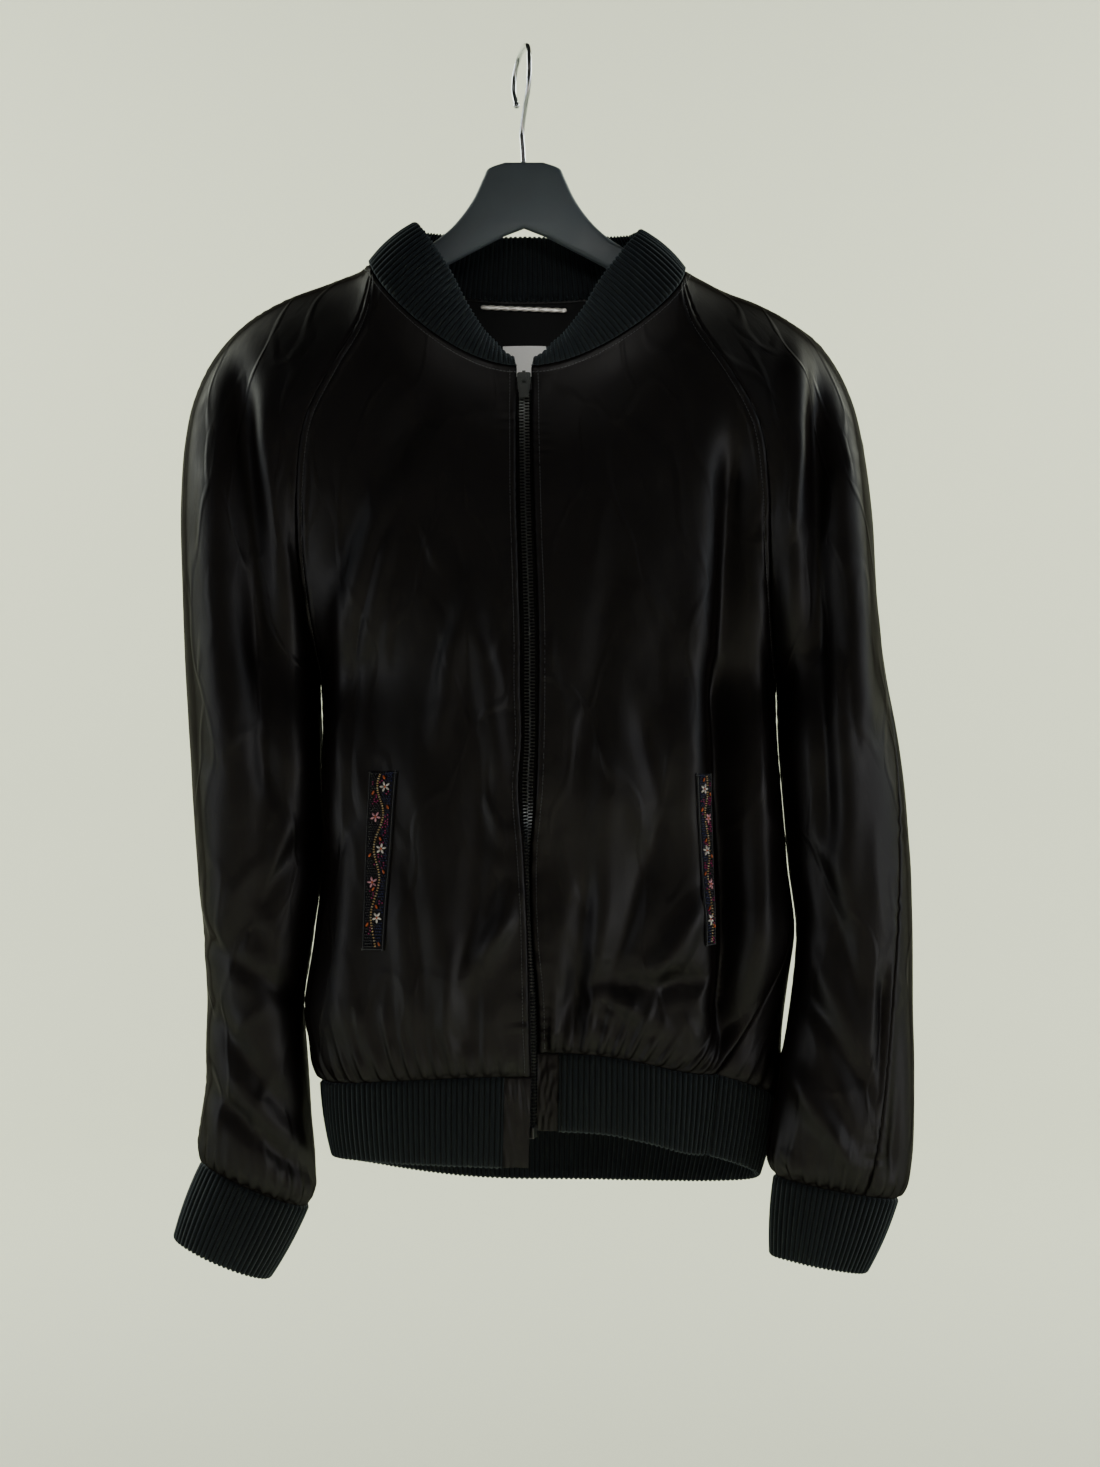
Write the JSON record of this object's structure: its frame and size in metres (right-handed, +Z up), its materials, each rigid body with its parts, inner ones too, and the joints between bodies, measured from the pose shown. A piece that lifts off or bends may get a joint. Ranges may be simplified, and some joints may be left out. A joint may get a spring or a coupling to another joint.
{
  "type": "bomber jacket on a hanger",
  "caption": "Black satin bomber jacket with raglan sleeves, knit-rib collar, cuffs and waistband, beaded pocket welts and a metal zip, hanging on a flat black hanger with a wire hook.",
  "frame": {"origin": "inside top of the hanger's hook, where the rail lies", "axes": "+Z up, -Y towards the jacket's front, +X towards the wearer's left"},
  "size_m": [0.5396, 0.1483, 0.9101],
  "materials": {
    "satin": "black silk-like satin, soft sheen",
    "rib_knit": "matt black knit rib",
    "beaded_welt": "black cloth covered with small glass beads",
    "lining": "black lining cloth",
    "label_cloth": "off-white woven label, blank",
    "loop_cord": "beige metallic cord",
    "zip_metal": "dark nickel",
    "zip_tape": "black woven tape",
    "hanger_plastic": "black satin-finish plastic",
    "hook_wire": "polished chromed wire"
  },
  "bodies": {
    "jacket": {"front_r": "satin", "front_l": "satin", "back": "satin", "sleeve_front_r": "satin", "sleeve_front_l": "satin", "sleeve_back_r": "satin", "sleeve_back_l": "satin", "tab_r": "satin", "tab_l": "satin", "collar": "rib_knit", "band_front_r": "rib_knit", "band_front_l": "rib_knit", "band_back": "rib_knit", "cuff_r": "rib_knit", "cuff_l": "rib_knit", "welt_r": "beaded_welt", "welt_l": "beaded_welt", "neck_facing": "lining", "label": "label_cloth", "hang_loop": "loop_cord", "zip_teeth_r": "zip_metal", "zip_teeth_l": "zip_metal", "zip_tape_r": "zip_tape", "zip_tape_l": "zip_tape", "zip_slider": "zip_metal", "zip_box": "zip_metal", "hanger": "hanger_plastic", "hook": "hook_wire"},
    "pull_tab": {"pull_tab": "zip_metal"}
  },
  "joints": [
    {"name": "pull_tab", "type": "hinge", "parent": "jacket", "child": "pull_tab", "pos_m": [0.0005, -0.05235, -0.24994], "axis": [-1, 0, 0], "range_deg": [0, 150]}
  ]
}
